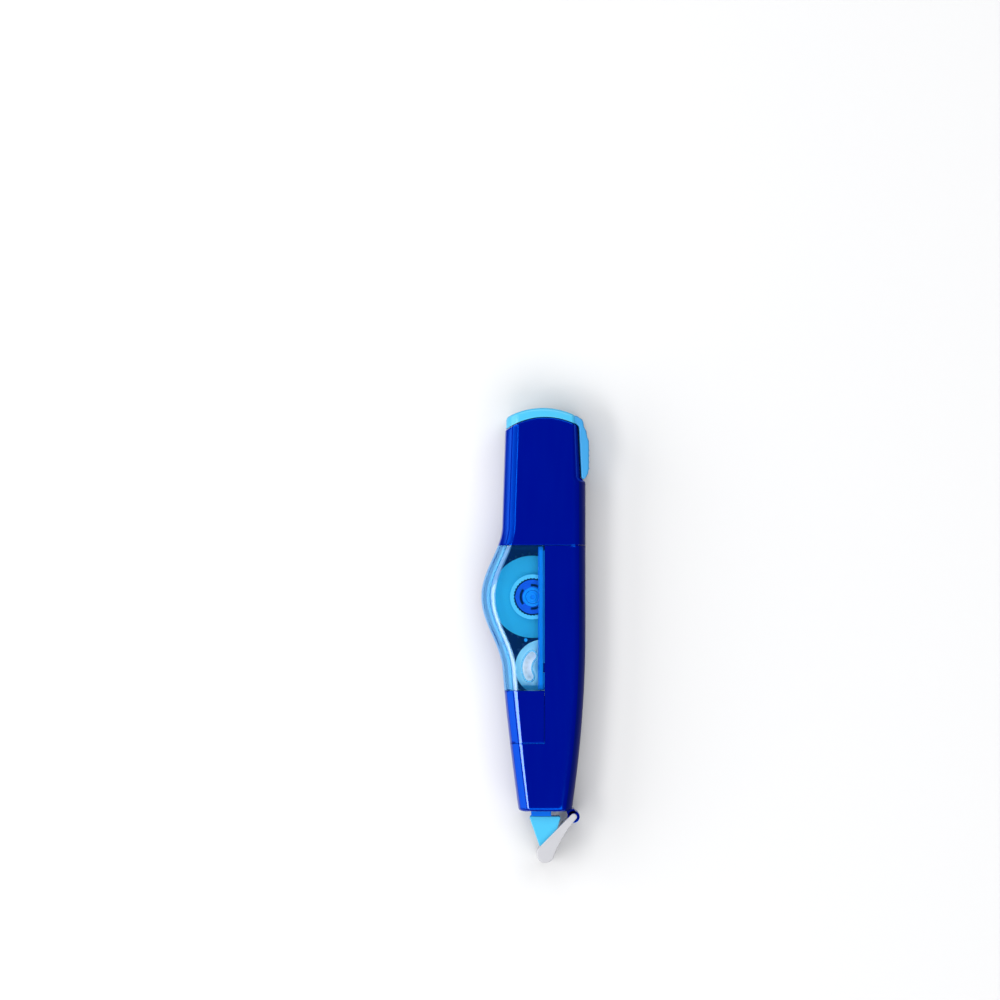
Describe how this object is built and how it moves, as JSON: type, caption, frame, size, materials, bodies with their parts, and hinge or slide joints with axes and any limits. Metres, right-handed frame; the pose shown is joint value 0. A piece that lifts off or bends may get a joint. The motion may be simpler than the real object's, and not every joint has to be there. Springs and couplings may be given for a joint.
{
  "type": "correction tape roller",
  "caption": "Pen-shaped correction tape roller with a clear side window over geared reels, a wedge applicator head, a swing-out head guard and a sliding end cap with a ridged thumb grip.",
  "frame": {"origin": "centre of the bounding box in plan, on the surface under the back of the case", "axes": "+Y runs from the applicator head to the end cap, +X points to the side with the thumb grip and the guard hinge, +Z is the front face with the window"},
  "size_m": [0.025, 0.105, 0.014],
  "materials": {
    "case_blue": "glossy",
    "clear_blue": "clear, glossy",
    "cyan": "glossy",
    "gear_navy": "satin",
    "reel_white": "satin",
    "hub_blue": "satin",
    "core_cyan": "satin",
    "tape_white": "matt",
    "ribbon": "glossy film",
    "guard_milky": "satin, translucent"
  },
  "bodies": {
    "case": {"upper_case_front": "case_blue", "upper_case_back": "case_blue", "lower_case_front": "case_blue", "lower_case_back": "case_blue", "nose_panel_front": "case_blue", "nose_panel_back": "case_blue", "cartridge_front": "clear_blue", "cartridge_back": "case_blue", "correction_tape_strand": "tape_white", "used_ribbon_strand": "ribbon", "head_stem": "clear_blue", "applicator_head": "cyan"},
    "supply_reel": {"supply_gear": "gear_navy", "clutch_hub": "hub_blue", "supply_core": "core_cyan", "tape_roll": "tape_white"},
    "takeup_spool": {"takeup_gear": "gear_navy", "takeup_reel": "reel_white", "used_ribbon_winding": "ribbon"},
    "guard": {"head_guard": "guard_milky"},
    "slider": {"release_slider": "cyan"}
  },
  "joints": [
    {"name": "supply_spin", "type": "hinge", "parent": "case", "child": "supply_reel", "pos_m": [-0.00069, 0.00888, 0.007], "axis": [0, 0, 1], "continuous": true},
    {"name": "takeup_spin", "type": "hinge", "parent": "case", "child": "takeup_spool", "pos_m": [0.00174, -0.00744, 0.007], "axis": [0, 0, 1], "continuous": true},
    {"name": "guard_swing", "type": "hinge", "parent": "case", "child": "guard", "pos_m": [0.0088, -0.0419, 0.007], "axis": [0, 0, 1], "range_deg": [0, 165]},
    {"name": "release_slide", "type": "slide", "parent": "case", "child": "slider", "axis": [0, 1, 0], "range_m": [0, 0.004]}
  ],
  "couplings": [
    {"joint": "takeup_spin", "follows": "supply_spin", "ratio": -1.4444}
  ]
}
